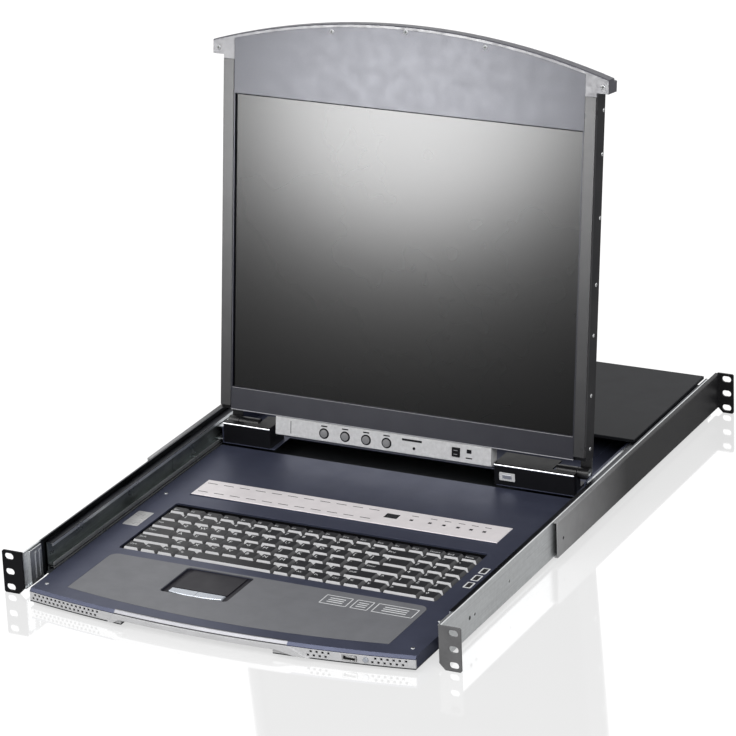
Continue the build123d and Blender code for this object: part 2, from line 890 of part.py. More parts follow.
def screen_back():
    """The back shell, with vent slots, and pockets below for the feet of the hinge leaves."""
    shell = back_body(module_half_width, arch_band, module_bottom, -module_depth)
    wall = module_wall
    floor = module_bottom + wall + leaf_wall
    shell -= back_body(module_half_width - wall, arch_band + wall, floor, -module_depth + wall)
    slot = Rectangle(back_slot_length, back_slot_width)
    for x in back_slot_columns:
        for row in range(back_slot_rows):
            y = back_slot_base + row * back_slot_pitch
            shell -= slab(Pos(x, y) * slot, -module_depth, -module_depth + 2 * wall)
    for side in (-1, 1):
        pocket = Pos(side * (leaf_inside + leaf_outside) / 2, module_bottom + leaf_wall / 2)
        pocket *= Rectangle(leaf_outside - leaf_inside + 2 * leaf_pocket_gap, leaf_wall)
        shell -= slab(pocket, -module_depth, -module_depth + leaf_foot + leaf_pocket_gap)
    return shell


def lcd_panel():
    half_width = glass_half_width + lcd_margin
    panel = Pos(0, glass_height / 2) * Rectangle(2 * half_width, glass_height + 2 * lcd_margin)
    return slab(panel, -bezel_wall - lcd_depth, -bezel_wall)


def screen_side_trim():
    """A raised strip beside the glass, on the right."""
    outline = Pos((bezel_half_width + module_half_width) / 2, (trim_bottom + trim_top) / 2)
    outline *= Rectangle(module_half_width - bezel_half_width, trim_top - trim_bottom)
    strip = slab(outline, -bezel_wall, trim_proud)
    return chamfer(strip.edges().filter_by(Axis.Y).filter_by(lambda edge: edge.center().Z > 0), trim_bevel)


def top_handle():
    """The arched grip along the screen's top, with a tab and a front plate at each end."""
    band = arch_face(0, tab_bottom) - arch_face(arch_band, tab_bottom)
    grip = slab(band, -arch_depth, 0)
    for side in (-1, 1):
        middle = side * (module_half_width + arch_half_width) / 2
        tab = Pos(middle, (tab_bottom + arch_side) / 2)
        tab *= Rectangle(arch_half_width - module_half_width, arch_side - tab_bottom)
        grip += slab(tab & arch_face(arch_band, tab_bottom), -tab_depth, 0)
        middle = side * (bezel_half_width + module_half_width) / 2
        plate = Pos(middle, (trim_top + arch_peak) / 2)
        plate *= Rectangle(module_half_width - bezel_half_width, arch_peak - trim_top)
        grip += slab(plate & arch_face(arch_band, trim_top), -bezel_wall, 0)
    edge = grip.edges().filter_by(GeomType.CIRCLE).filter_by(lambda item: item.center().Z > -0.01)
    return chamfer(edge.sort_by(Axis.Y)[-1], grip_bevel)


def osd_place(share):
    """Where a share of the control panel's width lies."""
    return osd_left + share * osd_width


def osd_panel():
    """The control panel's housing, open behind and below."""
    face = Pos((osd_left + osd_right) / 2, (osd_bottom + module_bottom) / 2)
    face *= Rectangle(osd_right - osd_left, module_bottom - osd_bottom)
    panel = slab(face, -osd_depth, 0)
    front_edges = panel.edges().filter_by(Axis.X).filter_by(lambda edge: edge.center().Z > -0.01)
    panel = chamfer(front_edges, osd_bevel)
    hollow = Pos((osd_left + osd_right) / 2, (osd_bottom + module_bottom - osd_wall) / 2)
    hollow *= Rectangle(osd_right - osd_left - 2 * osd_wall, module_bottom - osd_bottom - osd_wall)
    panel -= slab(hollow, -osd_depth, -osd_wall)
    for share in osd_button_shares:
        hole = Pos(osd_place(share), osd_button_v) * Circle(osd_button_radius + osd_button_gap)
        panel -= slab(hole, -osd_depth, 0)
    hole = Rectangle(osd_switch_width + 2 * osd_button_gap, osd_switch_height + 2 * osd_button_gap)
    return panel - slab(Pos(osd_place(osd_switch_share), osd_switch_v) * hole, -osd_depth, 0)


def osd_button(share):
    outline = Pos(osd_place(share), osd_button_v) * Circle(osd_button_radius)
    return slab(outline, osd_button_proud - osd_button_length, osd_button_proud)


def osd_switch():
    outline = Pos(osd_place(osd_switch_share), osd_switch_v) * Rectangle(osd_switch_width, osd_switch_height)
    return slab(outline, osd_button_proud - osd_button_length, osd_button_proud)


def hinge_leaf():
    """The screen's right-hand hinge leaf: a rolled knuckle, a flat leaf and a foot let into the back."""
    radius = module_depth - hinge_ahead
    axis_depth = -hinge_ahead
    leaf_back = -module_depth
    plane = Plane(origin=(leaf_inside, 0, 0), x_dir=(0, 1, 0), z_dir=(1, 0, 0))
    profile = Pos(hinge_v, axis_depth) * Circle(radius)
    leaf_top = module_bottom + leaf_wall
    strip = Rectangle(leaf_top - hinge_v, leaf_wall)
    profile += Pos((hinge_v + leaf_top) / 2, leaf_back + leaf_wall / 2) * strip
    foot_middle = leaf_back + leaf_foot / 2
    profile += Pos(leaf_top - leaf_wall / 2, foot_middle) * Rectangle(leaf_wall, leaf_foot)
    profile -= Pos(hinge_v, axis_depth) * Circle(pin_radius + pin_clearance)
    return extrude(plane * profile, amount=leaf_outside - leaf_inside)


# Screen carriage
def carriage_plate():
    """A sheet between the upper slides, with side flanges, a front notch and a raised middle."""
    floor = carriage_top - carriage_wall
    half = member_inside
    plate = block(-half, half, carriage_front, carriage_rear, floor, carriage_top)
    plate -= block(
        osd_left - notch_margin, osd_right + notch_margin, carriage_front, notch_rear, floor, carriage_top
    )
    flange = block(half - carriage_flange, half, carriage_front, carriage_rear, floor, carriage_flange_top)
    for side in both_sides(flange):
        plate += side
    return plate + block(
        -deck_panel_half_width, deck_panel_half_width, notch_rear + deck_panel_margin,
        carriage_rear - deck_panel_margin, carriage_top, carriage_top + deck_panel_height
    )


def hinge_cover(x0, x1):
    """A cover with an open back over the hinge, its top shelf left open above the knuckles."""
    cover = block(x0, x1, carriage_front, cover_rear, carriage_top, cover_top)
    front_top = cover.edges().filter_by(Axis.X).sort_by(lambda edge: edge.center().Z - edge.center().Y)[-1]
    cover = chamfer(front_top, cover_bevel)
    wall = cover_wall
    cover -= block(
        x0 + wall, x1 - wall, carriage_front + wall, cover_rear, carriage_top, cover_top - wall
    )
    low, high = (cover_open_from, x1) if x0 > 0 else (x0, -cover_open_from)
    return cover - block(low, high, carriage_front + cover_shelf, cover_rear, carriage_top, cover_top)


def hinge_trim(x0, x1):
    """A bright strip along a hinge cover's upper front edge."""
    top = cover_top - cover_bevel
    strip = block(x0, x1, carriage_front - trim_wall, carriage_front, top - trim_height, top)
    return chamfer(strip.edges().filter_by(Axis.X).group_by(Axis.Y)[0], hinge_trim_bevel)


def hinge_bracket():
    """The carriage's right-hand hinge knuckle on its foot."""
    radius = module_depth - hinge_ahead
    foot_top = carriage_top + hinge_foot_wall
    front = hinge_y - radius
    profile = Pos(hinge_y, hinge_z) * Circle(radius)
    profile += Pos(hinge_y, (hinge_z + carriage_top) / 2) * Rectangle(knuckle_neck, hinge_z - carriage_top)
    profile += Pos((front + hinge_foot_rear) / 2, (carriage_top + foot_top) / 2) * Rectangle(
        hinge_foot_rear - front, hinge_foot_wall
    )
    profile -= Pos(hinge_y, hinge_z) * Circle(pin_radius + pin_clearance)
    return along_x(profile, knuckle_inside, leaf_inside - knuckle_gap)


def hinge_pin():
    return rod_x(hinge_y, hinge_z, pin_radius, knuckle_inside - knuckle_gap, leaf_outside)


# Rear housing
def housing_base():
    """The floor pan with side upstands, and the walls of the electronics bay."""
    floor = housing_bottom + housing_wall
    half = housing_half_width
    base = block(-half, half, housing_front, housing_rear, housing_bottom, floor)
    for side in both_sides(block(half - housing_wall, half, housing_front, rail_end, floor, rail_bottom)):
        base += side
    bay_side = block(bay_half_width - housing_wall, bay_half_width, bay_front, housing_rear, floor, bay_top)
    for side in both_sides(bay_side):
        base += side
    base += block(-bay_half_width, bay_half_width, bay_front, bay_front + housing_wall, floor, bay_top)
    base += block(-bay_half_width, bay_half_width, housing_rear - housing_wall, housing_rear, floor, bay_top)
    base -= inlet_hole(0, housing_rear - 2 * housing_wall, housing_rear + housing_wall)
    base -= Pos(rocker_x, housing_rear, inlet_z) * Box(rocker_width, 6 * housing_wall, rocker_height)
    for number in range(port_count):
        hole = port_profile(port_first_x + number * port_pitch, port_shell_taper / 2)
        base -= along_y(hole, housing_rear - 2 * housing_wall, housing_rear + housing_wall)
    for x in (board_left + board_post_inset, board_right - board_post_inset):
        for y in (board_front + board_post_inset, board_rear - board_post_inset):
            base += Pos(x, y, (floor + board_bottom) / 2) * Box(board_post, board_post, board_bottom - floor)
    return base


def top_cover():
    top = bay_top + housing_wall
    half = top_cover_half_width
    cover = block(-half, half, top_cover_front, housing_rear, bay_top, top)
    hem = bay_top - top_cover_hem
    for side in both_sides(block(half - housing_wall, half, top_cover_front, housing_rear, hem, bay_top)):
        cover += side
    cover += block(-half, half, top_cover_front, top_cover_front + housing_wall, hem, bay_top)
    return chamfer(cover.edges().group_by(Axis.Z)[-1], top_cover_bevel)


def circuit_board():
    """The switch board with its larger packages and a finned heat sink on one of them."""
    top = board_bottom + board_wall
    board = block(board_left, board_right, board_front, board_rear, board_bottom, top)
    for share, y, size in package_places:
        x = board_left + share * (board_right - board_left)
        half = size / 2
        board += block(x - half, x + half, y - half, y + half, top, top + package_height)
    sink_share, sink_y, size = package_places[1]
    sink_x = board_left + sink_share * (board_right - board_left)
    for number in range(fin_count):
        x = sink_x + (number - (fin_count - 1) / 2) * fin_pitch
        board += block(
            x - fin_wall / 2, x + fin_wall / 2, sink_y - fin_length / 2, sink_y + fin_length / 2,
            top + package_height, top + package_height + fin_height
        )
    return board


def power_supply():
    """A closed metal case beside the board, screwed to the floor."""
    floor = housing_bottom + housing_wall
    case = block(supply_left, supply_right, supply_front, supply_rear, floor, supply_top)
    return chamfer(case.edges().filter_by(Axis.Y).group_by(Axis.Z)[-1], supply_bevel)


def inlet_outline(grow):
    """The mains inlet's six-sided outline, grown by a margin."""
    half = inlet_width / 2 + grow
    low = -inlet_height / 2 - grow
    high = inlet_height / 2 + grow
    cut = inlet_corner + grow / 2
    side = high - cut
    points = ((-half, low), (half, low), (half, side), (half - cut, high), (cut - half, high), (-half, side))
    return Pos(inlet_x, inlet_z) * Polygon(*points, align=None)


def inlet_hole(grow, y0, y1):
    return along_y(inlet_outline(grow), y0, y1)


def power_inlet():
    """The mains inlet with its three blades."""
    face = housing_rear + inlet_flange_wall
    body = inlet_hole(-inlet_gap, face - inlet_body, face)
    body += inlet_hole(inlet_flange, housing_rear, face)
    cavity_floor = face - inlet_cavity
    body -= inlet_hole(-inlet_gap - inlet_wall, cavity_floor, face)
    for x, z in ((0, inlet_pin_drop), (-inlet_pin_span, -inlet_pin_drop), (inlet_pin_span, -inlet_pin_drop)):
        body += Pos(inlet_x + x, cavity_floor + inlet_pin_length / 2, inlet_z + z) * Box(
            inlet_pin_width, inlet_pin_length, inlet_pin_height
        )
    return body


def switch_block(grow, front, rear):
    """A rectangular block round the mains switch's middle, grown by a margin."""
    width = rocker_width / 2 + grow
    height = rocker_height / 2 + grow
    return block(rocker_x - width, rocker_x + width, front, rear, inlet_z - height, inlet_z + height)


def switch_frame():
    """The mains switch's frame beside the inlet."""
    face = housing_rear + rocker_frame_wall
    frame = switch_block(-inlet_gap, face - rocker_depth, face)
    frame += switch_block(rocker_frame, housing_rear, face)
    return frame - switch_block(-inlet_gap - rocker_frame_wall, face - rocker_depth + rocker_frame_wall, face)


def power_rocker():
    """The rocker with its pivot stubs, resting on its lower side, which turns about X."""
    pivot_y = housing_rear + rocker_frame_wall - rocker_pivot
    half = rocker_height / 2 - rocker_frame_wall - rocker_end_gap
    half_width = rocker_width / 2 - rocker_frame_wall - rocker_side_gap
    proud = rocker_pivot + rocker_proud
    rise = half * sin(radians(rocker_tilt))
    outline = Polygon(
        (proud, -half), (proud - rise, 0), (proud, half),
        (-rocker_shoulder, half), (-rocker_keel, 0), (-rocker_shoulder, -half), align=None
    )
    profile = Pos(pivot_y, inlet_z) * Rot(0, 0, rocker_tilt) * outline
    rocker = along_x(profile, rocker_x - half_width, rocker_x + half_width)
    reach = rocker_width / 2 - inlet_gap - rocker_frame_wall - rocker_stub_gap
    return rocker + rod_x(pivot_y, inlet_z, rocker_stub_radius, rocker_x - reach, rocker_x + reach)


def port_profile(x, grow):
    """The slanted outline of a port's metal shell."""
    wide = port_shell_width / 2 + grow
    narrow = wide - port_shell_taper
    high = port_shell_height / 2 + grow
    outline = Polygon((-narrow, -high), (narrow, -high), (wide, high), (-wide, high), align=None)
    return Pos(x, port_z) * outline


def console_port(x):
    """A computer port: body behind the wall, flange and shell outside it."""
    face = housing_rear + port_flange_wall
    flange = Pos(x, port_z) * Rectangle(port_flange_width, port_flange_height)
    port = along_y(flange, housing_rear, face)
    port += along_y(port_profile(x, 0), housing_rear - port_body_depth, face + port_shell_depth)
    return port


# Writing the sub-parts
save("housing_base", housing_base())
save("top_cover", top_cover())
save("side_rail_right", side_rail())
save("side_rail_left", mirrored(side_rail()))
save("front_ears", *both_sides(front_ear()))
save("guide_blocks", *both_sides(guide_block()))
save("slide_spacers", *[piece for place in spacer_places for piece in both_sides(slide_spacer(place))])
upper_outer = outer_member(upper_slide_bottom, upper_slide_top, upper_slide_wall, upper_slide_lip)
lower_outer = outer_member(lower_slide_bottom, lower_slide_top, lower_slide_wall, lower_slide_lip)
save("upper_slide_channels", *both_sides(upper_outer))
save("lower_slide_channels", *both_sides(lower_outer))
save("circuit_board", circuit_board())
save("power_supply", power_supply())
save("power_inlet", power_inlet(), switch_frame())
save("console_ports", *[console_port(port_first_x + number * port_pitch) for number in range(port_count)])
save("power_rocker", power_rocker())

save("rear_bracket_right", rear_bracket())
save("rear_bracket_left", mirrored(rear_bracket()))

save("keyboard_tray", tray_shell())
save("tray_floor", tray_floor())
save("front_fascia", front_fascia())
save("drawer_handle", drawer_handle())
save("palm_rest", palm_rest())
save("touchpad", touchpad())
save("touchpad_button_left", touchpad_button(-1))
save("touchpad_button_right", touchpad_button(1))
save("key_plate", key_plate())
save("status_panel", status_panel())
save("status_lamps", *status_lamps())
save("usb_port", usb_port())
save("front_button", front_button())
for row in range(len(main_rows)):
    caps = [key_cap(*centre) for centre in key_centres(row)]
    if row == 0:
        save("space_bar", caps.pop(space_place))
    save(f"key_row_{row + 1}", *caps)
lower_low = lower_slide_bottom + lower_member_inset
lower_high = lower_slide_top - lower_member_inset
lower_inner = inner_member(lower_low, lower_high, lower_member_start, lower_member_end)
save("lower_slide_runners", *both_sides(lower_inner))
lower_cage = ball_cage(
    lower_slide_bottom, lower_slide_top, lower_slide_wall, lower_member_inset, lower_cage_start
)
save("lower_ball_cages", *both_sides(lower_cage))

upper_low = upper_slide_bottom + upper_member_inset
upper_high = upper_slide_top - upper_member_inset
upper_inner = inner_member(upper_low, upper_high, upper_member_start, slide_end)
save("upper_slide_runners", *both_sides(upper_inner))
upper_cage = ball_cage(
    upper_slide_bottom, upper_slide_top, upper_slide_wall, upper_member_inset, upper_cage_start
)
save("upper_ball_cages", *both_sides(upper_cage))
save("carriage_plate", carriage_plate())
save("hinge_cover_left", hinge_cover(*left_cover))
save("hinge_cover_right", hinge_cover(*right_cover))
save("hinge_trims", hinge_trim(*left_cover), hinge_trim(*right_cover))
save("hinge_brackets", *both_sides(hinge_bracket()))
save("hinge_pins", *both_sides(hinge_pin()))

save("screen_bezel", on_screen(screen_bezel()))
save("screen_back", on_screen(screen_back()))
save("lcd_panel", on_screen(lcd_panel()))
save("screen_side_trims", *[on_screen(piece) for piece in both_sides(screen_side_trim())])
save("top_handle", on_screen(top_handle()))
save("osd_panel", on_screen(osd_panel()))
save("screen_hinge_leaves", *[on_screen(piece) for piece in both_sides(hinge_leaf())])
for number, share in enumerate(osd_button_shares):
    save(f"osd_button_{number + 1}", on_screen(osd_button(share)))
save("osd_switch", on_screen(osd_switch()))
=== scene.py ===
import json
import math

import bmesh
import bpy
from mathutils import Matrix, Vector


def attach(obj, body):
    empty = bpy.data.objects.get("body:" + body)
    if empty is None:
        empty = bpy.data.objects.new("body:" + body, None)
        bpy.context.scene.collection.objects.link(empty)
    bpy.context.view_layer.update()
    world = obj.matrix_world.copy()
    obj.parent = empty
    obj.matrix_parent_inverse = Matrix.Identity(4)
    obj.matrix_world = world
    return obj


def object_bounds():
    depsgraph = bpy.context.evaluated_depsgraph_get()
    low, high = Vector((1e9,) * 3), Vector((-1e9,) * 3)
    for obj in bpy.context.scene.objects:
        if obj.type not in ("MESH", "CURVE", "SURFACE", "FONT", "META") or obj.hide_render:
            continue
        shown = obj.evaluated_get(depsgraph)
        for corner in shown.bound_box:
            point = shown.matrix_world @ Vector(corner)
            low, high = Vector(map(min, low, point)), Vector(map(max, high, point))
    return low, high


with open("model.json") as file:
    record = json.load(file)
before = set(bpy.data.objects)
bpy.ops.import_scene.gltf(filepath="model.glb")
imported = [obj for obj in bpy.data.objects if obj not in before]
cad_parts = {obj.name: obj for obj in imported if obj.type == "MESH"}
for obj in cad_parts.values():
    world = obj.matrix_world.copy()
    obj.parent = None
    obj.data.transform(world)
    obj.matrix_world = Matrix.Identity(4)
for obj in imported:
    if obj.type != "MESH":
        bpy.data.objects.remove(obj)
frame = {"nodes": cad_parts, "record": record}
cad_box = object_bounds()
nodes = frame["nodes"]
MM = 0.001


# Camera: the photograph's direction, fitted on the ears, the tray and the screen
camera_azimuth = math.radians(27.302)
camera_elevation = math.radians(21.145)
camera_roll = math.radians(-2.405)
camera_place = Vector((1.60948, -2.81133, 1.48470))
camera_lens = 188.46
camera_sensor = 36.0


def make_camera():
    """The camera's axes are the rolled right and up directions and the direction back to it."""
    flat = math.cos(camera_elevation)
    back = Vector((
        math.sin(camera_azimuth) * flat, -math.cos(camera_azimuth) * flat, math.sin(camera_elevation)
    ))
    right = Vector((math.cos(camera_azimuth), math.sin(camera_azimuth), 0))
    up = back.cross(right)
    turn, lift = math.cos(camera_roll), math.sin(camera_roll)
    rolled_right = right * turn + up * lift
    rolled_up = up * turn - right * lift
    data = bpy.data.cameras.new("camera")
    data.sensor_width = camera_sensor
    data.lens = camera_lens
    data.clip_start = 0.05
    data.clip_end = 60
    camera = bpy.data.objects.new("camera", data)
    bpy.context.scene.collection.objects.link(camera)
    rotation = Matrix((rolled_right, rolled_up, back)).transposed()
    camera.matrix_world = Matrix.Translation(camera_place) @ rotation.to_4x4()
    bpy.context.scene.camera = camera


make_camera()


# Sizes in millimetres that the dressing shares with the solids
tray_front = -34.6
tray_front_side = -15.6
tray_half_width = 202.0
bow_sag = tray_front_side - tray_front
bow_radius = (tray_half_width ** 2 + bow_sag ** 2) / (2 * bow_sag)
rim_left = -103.0
rim_right = 80.0
rim_width = 4.2
# Width of the groove's line of painted shade; below shade_top the grip is painted in shade
groove_shade_width = 0.8
shade_top = -7.5
paint_fade = 0.4
deck_colour = (0.06, 0.067, 0.107)
glass_specular = 0.088
bezel_specular = 0.12
# Painted highlights on the keys' front flanks and, weaker, on their right-hand flanks
key_front_highlight = (0.72, 0.72, 0.73)
key_right_highlight = (0.12, 0.12, 0.123)


# Materials
def shade(colour, factor):
    return tuple(min(1.0, channel * factor) for channel in colour)


class Shader:
    """A material's node tree with short helpers for the nodes that repeat."""

    def __init__(self, name):
        self.material = bpy.data.materials.new(name)
        self.material.use_nodes = True
        self.tree = self.material.node_tree
        self.tree.nodes.clear()
        self.output = self.add("ShaderNodeOutputMaterial")
        self.main = self.add("ShaderNodeBsdfPrincipled")
        self.join(self.main.outputs["BSDF"], self.output.inputs["Surface"])
        self.place = self.add("ShaderNodeTexCoord").outputs["Object"]

    def add(self, kind, **settings):
        node = self.tree.nodes.new(kind)
        for key, value in settings.items():
            setattr(node, key, value)
        return node

    def join(self, source, target):
        self.tree.links.new(source, target)

    def stretched(self, scale):
        node = self.add("ShaderNodeMapping")
        node.inputs["Scale"].default_value = scale
        self.join(self.place, node.inputs["Vector"])
        return node.outputs["Vector"]

    def noise(self, scale, detail=3.0, rough=0.55, stretch=(1, 1, 1)):
        node = self.add("ShaderNodeTexNoise")
        node.inputs["Scale"].default_value = scale
        node.inputs["Detail"].default_value = detail
        node.inputs["Roughness"].default_value = rough
        self.join(self.stretched(stretch), node.inputs["Vector"])
        return node.outputs["Fac"]

    def ramp(self, value, low, high, from_low=0.3, from_high=0.7):
        node = self.add("ShaderNodeMapRange")
        node.inputs["From Min"].default_value = from_low
        node.inputs["From Max"].default_value = from_high
        node.inputs["To Min"].default_value = low
        node.inputs["To Max"].default_value = high
        self.join(value, node.inputs["Value"])
        return node.outputs["Result"]

    def mix(self, factor, first, second):
        node = self.add("ShaderNodeMix", data_type="RGBA")
        if isinstance(factor, float):
            node.inputs["Factor"].default_value = factor
        else:
            self.join(factor, node.inputs["Factor"])
        for socket, value in ((node.inputs[6], first), (node.inputs[7], second)):
            if isinstance(value, tuple):
                socket.default_value = (*value, 1.0)
            else:
                self.join(value, socket)
        return node.outputs[2]

    def bump(self, height, depth, normal=None):
        node = self.add("ShaderNodeBump")
        node.inputs["Strength"].default_value = 1.0
        node.inputs["Distance"].default_value = depth
        self.join(height, node.inputs["Height"])
        if normal is not None:
            self.join(normal, node.inputs["Normal"])
        return node.outputs["Normal"]

    def rounded(self, radius):
        node = self.add("ShaderNodeBevel")
        node.samples = 4
        node.inputs["Radius"].default_value = radius
        return node.outputs["Normal"]

    def set(self, **values):
        for key, value in values.items():
            socket = self.main.inputs[key.replace("_", " ")]
            if isinstance(value, (int, float, tuple)):
                socket.default_value = value
            else:
                self.join(value, socket)

    def component(self, axis):
        """One coordinate of the point, in the object's space and in metres."""
        node = self.add("ShaderNodeSeparateXYZ")
        self.join(self.place, node.inputs["Vector"])
        return node.outputs[axis]

    def off_middle(self):
        """The point's distance from the middle plane, to either side."""
        node = self.add("ShaderNodeMath", operation="ABSOLUTE")
        self.join(self.component("X"), node.inputs[0])
        return node.outputs["Value"]

    def varied(self, value, colour, spread):
        """A colour made darker and lighter by a value's clouds or streaks."""
        return self.mix(self.ramp(value, 0.0, 1.0), shade(colour, 1 - spread), shade(colour, 1 + spread))

    def product(self, first, second):
        node = self.add("ShaderNodeMath", operation="MULTIPLY")
        self.join(first, node.inputs[0])
        self.join(second, node.inputs[1])
        return node.outputs["Value"]

    def band(self, value, low, high):
        """1 between two values, 0 elsewhere, with a short slope at each end."""
        slope = (high - low) / 4
        rise = self.ramp(value, 0.0, 1.0, low - slope, low)
        fall = self.ramp(value, 1.0, 0.0, high, high + slope)
        return self.product(rise, fall)


def painted(
    name, colour, metallic, roughness, cloud=0.12, cloud_scale=60.0, grain=0.00003, grain_scale=1400.0,
    rough_spread=0.06, edge=0.0004, specular=0.5
):
    """Powder coat or moulded plastic: cloudy tone, fine grain, softened edges."""
    shader = Shader(name)
    tone = shader.varied(shader.noise(cloud_scale, 5.0, 0.6), colour, cloud)
    wear = shader.noise(cloud_scale * 0.6, 3.0)
    rough = shader.ramp(wear, roughness - rough_spread, roughness + rough_spread)
    normal = shader.bump(shader.noise(grain_scale, 2.0, 0.5), grain, shader.rounded(edge))
    shader.set(
        Base_Color=tone, Roughness=rough, Metallic=metallic, Normal=normal, Specular_IOR_Level=specular
    )
    return shader.material


def brushed(name, colour, roughness, stretch, streak=0.18, streak_scale=900.0, edge=0.0003):
    """Bare metal with drawn streaks along the direction that the stretch leaves long."""
    shader = Shader(name)
    streaks = shader.noise(streak_scale, 4.0, 0.6, stretch)
    cloud = shader.noise(25.0, 4.0, 0.6)
    tone = shader.varied(streaks, colour, streak)
    rough = shader.ramp(cloud, roughness - 0.07, roughness + 0.07)
    normal = shader.bump(streaks, 0.00001, shader.rounded(edge))
    shader.set(Base_Color=tone, Roughness=rough, Metallic=1.0, Normal=normal)
    return shader.material


def screen_glass():
    """The panel's anti-glare face: nearly black, with a very fine sparkle and a soft reflection."""
    shader = Shader("screen_glass")
    sparkle = shader.noise(5200.0, 1.0, 0.5)
    cloud = shader.ramp(shader.noise(9.0, 3.0), 0.0, 1.0)
    tone = shader.mix(cloud, (0.002, 0.002, 0.002), (0.003, 0.003, 0.003))
    shader.set(
        Base_Color=tone, Roughness=shader.ramp(sparkle, 0.205, 0.225), Specular_IOR_Level=glass_specular,
        Normal=shader.bump(sparkle, 0.000002)
    )
    return shader.material


def bezel_paint():
    """Metallic slate paint with a fine flake, as soft a mirror as the glass."""
    shader = Shader("slate_light")
    flake = shader.noise(1900.0, 2.0, 0.6)
    cloud = shader.noise(70.0, 3.0, 0.5)
    tone = shader.mix(shader.ramp(flake, 0.0, 1.0), (0.006, 0.006, 0.011), (0.011, 0.011, 0.018))
    rough = shader.ramp(cloud, 0.29, 0.32)
    normal = shader.bump(flake, 0.000006, shader.rounded(0.0004))
    tint = shader.mix(shader.ramp(flake, 0.0, 1.0), (0.88, 0.9, 1.0), (0.96, 0.97, 1.0))
    shader.set(
        Base_Color=tone, Roughness=rough, Specular_IOR_Level=bezel_specular, Specular_Tint=tint, Normal=normal
    )
    return shader.material


def painted_light_fade(name, near, far, start, end, axis, roughness, specular=0.4):
    """Satin paint that fades along an axis, as the light on such a piece does in the photograph."""
    shader = Shader(name)
    along = shader.ramp(shader.component(axis), 0.0, 1.0, start * MM, end * MM)
    cloud = shader.noise(42.0, 4.0, 0.6)
    tone = shader.mix(along, shader.varied(cloud, near, 0.1), shader.varied(cloud, far, 0.15))
    normal = shader.bump(shader.noise(1700.0, 2.0), 0.00002, shader.rounded(0.0004))
    shader.set(Base_Color=tone, Roughness=roughness, Specular_IOR_Level=specular, Normal=normal)
    return shader.material


def deck_with_painted_shade():
    """The drawer's painted deck, with a pale rim along the finger grip, a dark line of painted shade just
    behind the rim where the groove is, and painted shade on its faces below a level along the grip.
    """
    shader = Shader("deck")
    x = shader.component("X")
    tone = shader.varied(shader.noise(45.0, 5.0, 0.6), deck_colour, 0.07)
    centre = (0.0, tray_front + bow_radius, 0.0)
    flat = shader.add("ShaderNodeVectorMath", operation="MULTIPLY")
    flat.inputs[1].default_value = (1, 1, 0)
    shader.join(shader.place, flat.inputs[0])
    reach = shader.add("ShaderNodeVectorMath", operation="DISTANCE")
    shader.join(flat.outputs["Vector"], reach.inputs[0])
    reach.inputs[1].default_value = tuple(value * MM for value in centre)
    distance = reach.outputs["Value"]
    beyond_left = shader.ramp(x, 0.0, 1.0, rim_left * MM, (rim_left + 1) * MM)
    beyond_right = shader.ramp(x, 1.0, 0.0, (rim_right - 1) * MM, rim_right * MM)
    across = shader.product(beyond_left, beyond_right)
    rim_edge = bow_radius - rim_width
    rim = shader.ramp(distance, 0.0, 1.0, rim_edge * MM, (rim_edge + paint_fade) * MM)
    # A dark line of painted shade just behind the rim, standing for the groove.
    groove_shade = shader.band(distance, (rim_edge - groove_shade_width) * MM, rim_edge * MM)
    # Painted shade on the faces below shade_top along the grip.
    low = shader.ramp(shader.component("Z"), 1.0, 0.0, (shade_top - paint_fade) * MM, shade_top * MM)
    tone = shader.mix(shader.product(across, groove_shade), tone, (0.02, 0.022, 0.03))
    tone = shader.mix(shader.product(across, rim), tone, (0.3, 0.3, 0.32))
    tone = shader.mix(shader.product(across, low), tone, (0.015, 0.015, 0.018))
    normal = shader.bump(shader.noise(1700.0, 2.0), 0.00002, shader.rounded(0.0004))
    rough = shader.ramp(shader.noise(30.0, 3.0), 0.36, 0.44)
    shader.set(Base_Color=tone, Roughness=rough, Metallic=0.55, Normal=normal)
    return shader.material


def key_plastic():
    """Black keys, with the flanks painted pale that look lit in the photograph."""
    shader = Shader("key_black")
    facing = shader.add("ShaderNodeNewGeometry")
    split = shader.add("ShaderNodeSeparateXYZ")
    shader.join(facing.outputs["True Normal"], split.inputs["Vector"])
    cloud = shader.ramp(shader.noise(90.0, 3.0), 0.0, 1.0)
    tone = shader.mix(cloud, (0.011, 0.011, 0.013), (0.017, 0.017, 0.019))
    # Painted highlight on the front flanks, then a weaker one on the right-hand flanks.
    front = shader.ramp(split.outputs["Y"], 1.0, 0.0, -0.7, -0.3)
    tone = shader.mix(front, tone, key_front_highlight)
    right = shader.ramp(split.outputs["X"], 0.0, 1.0, 0.3, 0.7)
    tone = shader.mix(right, tone, key_right_highlight)
    normal = shader.bump(shader.noise(2600.0, 2.0), 0.00002, shader.rounded(0.0005))
    shader.set(Base_Color=tone, Roughness=0.42, Specular_IOR_Level=0.4, Normal=normal)
    return shader.material


def rail_metal():
    """Galvanised sheet with spangle, painted dark on the rails' inner side, which is in shade."""
    shader = Shader("galvanised")
    colour = (0.78, 0.8, 0.81)
    streaks = shader.noise(700.0, 4.0, 0.6, (1, 0.02, 1))
    tone = shader.varied(streaks, colour, 0.1)
    flowers = shader.add("ShaderNodeTexVoronoi")
    flowers.inputs["Scale"].default_value = 220.0
    shader.join(shader.place, flowers.inputs["Vector"])
    spangle = shader.ramp(flowers.outputs["Distance"], 0.0, 0.35, 0.0, 1.0)
    tone = shader.mix(spangle, tone, shade(colour, 0.7))
    inner = shader.ramp(shader.off_middle(), 1.0, 0.0, 218.3 * MM, 218.7 * MM)
    rearward = shader.ramp(shader.component("Y"), 0.0, 1.0, 30.0 * MM, 34.0 * MM)
    tone = shader.mix(shader.product(inner, rearward), tone, (0.06, 0.063, 0.07))
    rough = shader.ramp(shader.noise(25.0, 4.0), 0.29, 0.43)
    normal = shader.bump(streaks, 0.00001, shader.rounded(0.0003))
    shader.set(Base_Color=tone, Roughness=rough, Metallic=1.0, Normal=normal)
    return shader.material


